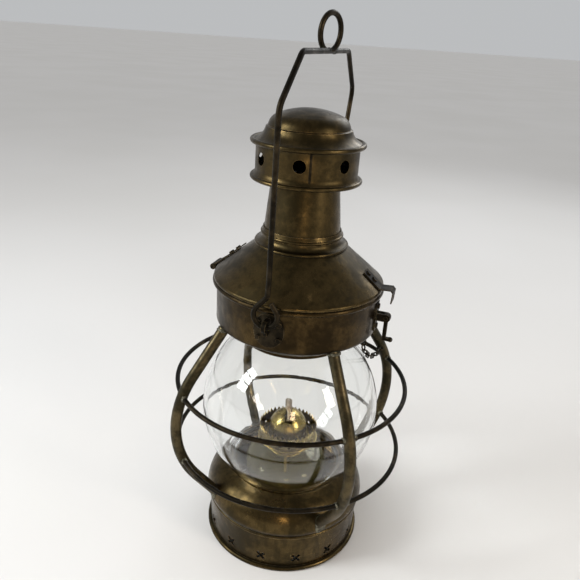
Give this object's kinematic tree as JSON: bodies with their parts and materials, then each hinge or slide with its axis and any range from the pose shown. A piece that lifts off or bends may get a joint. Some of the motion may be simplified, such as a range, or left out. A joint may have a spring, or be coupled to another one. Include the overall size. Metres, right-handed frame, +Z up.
{
  "type": "ship lantern",
  "caption": "Round brass ship lantern with a clear globe in a rib and ring guard, vented base, hinged chimney lid with catch, wire bail and lift-out oil lamp.",
  "frame": {"origin": "centre of the foot rim, on the surface the lantern stands on", "axes": "+Z up through the chimney, +X towards the lid catch, -X towards the lid hinge, -Y and +Y towards the bail's two lugs"},
  "size_m": [0.2488, 0.2488, 0.5534],
  "materials": {
    "aged_brass": "aged, satin",
    "guard_brass": "aged, satin",
    "dark_brass": "dark patina",
    "burner_brass": "satin",
    "globe_glass": "clear",
    "fount_glass": "clear",
    "wick_cotton": "woven"
  },
  "bodies": {
    "root": {"base_skirt": "aged_brass", "base_floor": "aged_brass", "base_drum": "aged_brass", "fount_ring": "aged_brass", "globe_seat": "aged_brass", "glass_globe": "globe_glass", "globe_collar": "aged_brass", "guard_rib_front_right": "guard_brass", "guard_rib_rear_right": "guard_brass", "guard_rib_rear_left": "guard_brass", "guard_rib_front_left": "guard_brass", "guard_ring_lower": "dark_brass", "guard_ring_upper": "dark_brass", "hood_drum": "aged_brass", "bail_lug_front": "dark_brass", "bail_lug_rear": "dark_brass", "drum_rivets": "dark_brass", "hinge_leaf": "dark_brass", "hinge_pin": "dark_brass", "hook_plate": "dark_brass", "hook_pivot": "dark_brass", "chain_eyelet": "dark_brass", "rib_eyelet": "dark_brass", "keeper_chain": "dark_brass"},
    "lid": {"lid_cone": "aged_brass", "lid_spigot": "aged_brass", "chimney_moulding": "aged_brass", "chimney_tube": "aged_brass", "vent_band": "aged_brass", "band_floor": "aged_brass", "smoke_baffle": "aged_brass", "cap_dome": "aged_brass", "hinge_strap": "dark_brass", "catch_strap": "dark_brass", "lid_rivets": "dark_brass"},
    "hook": {"swing_hook": "dark_brass"},
    "bail": {"bail_wire": "dark_brass", "lifting_loop": "dark_brass"},
    "lamp": {"fount_glass": "fount_glass", "fount_collar": "burner_brass", "burner_base": "burner_brass", "coronet": "burner_brass", "deflector_dome": "burner_brass", "wick_tube": "burner_brass"},
    "winder": {"wick_winder": "burner_brass"},
    "wick": {"wick": "wick_cotton"}
  },
  "joints": [
    {"name": "bail_swing", "type": "hinge", "parent": "root", "child": "bail", "pos_m": [0, 0, 0.303], "axis": [0, 1, 0], "range_deg": [-120, 120]},
    {"name": "lid_open", "type": "hinge", "parent": "root", "child": "lid", "pos_m": [-0.091, 0, 0.3052], "axis": [0, -1, 0], "range_deg": [0, 95]},
    {"name": "hook_swing", "type": "hinge", "parent": "root", "child": "hook", "pos_m": [0.093, 0, 0.282], "axis": [0, -1, 0], "range_deg": [0, 158]},
    {"name": "lamp_lift", "type": "slide", "parent": "root", "child": "lamp", "axis": [0, 0, 1], "range_m": [0, 0.22]},
    {"name": "knob_turn", "type": "hinge", "parent": "lamp", "child": "winder", "pos_m": [0.00526, 0.00161, 0.1095], "axis": [-0.2924, 0.9563, 0], "range_deg": [-287, 62]},
    {"name": "wick_raise", "type": "slide", "parent": "lamp", "child": "wick", "axis": [0, 0, 1], "range_m": [-0.019, 0.0041]}
  ],
  "couplings": [
    {"joint": "knob_turn", "follows": "wick_raise", "rad_per_m": 263.16}
  ]
}
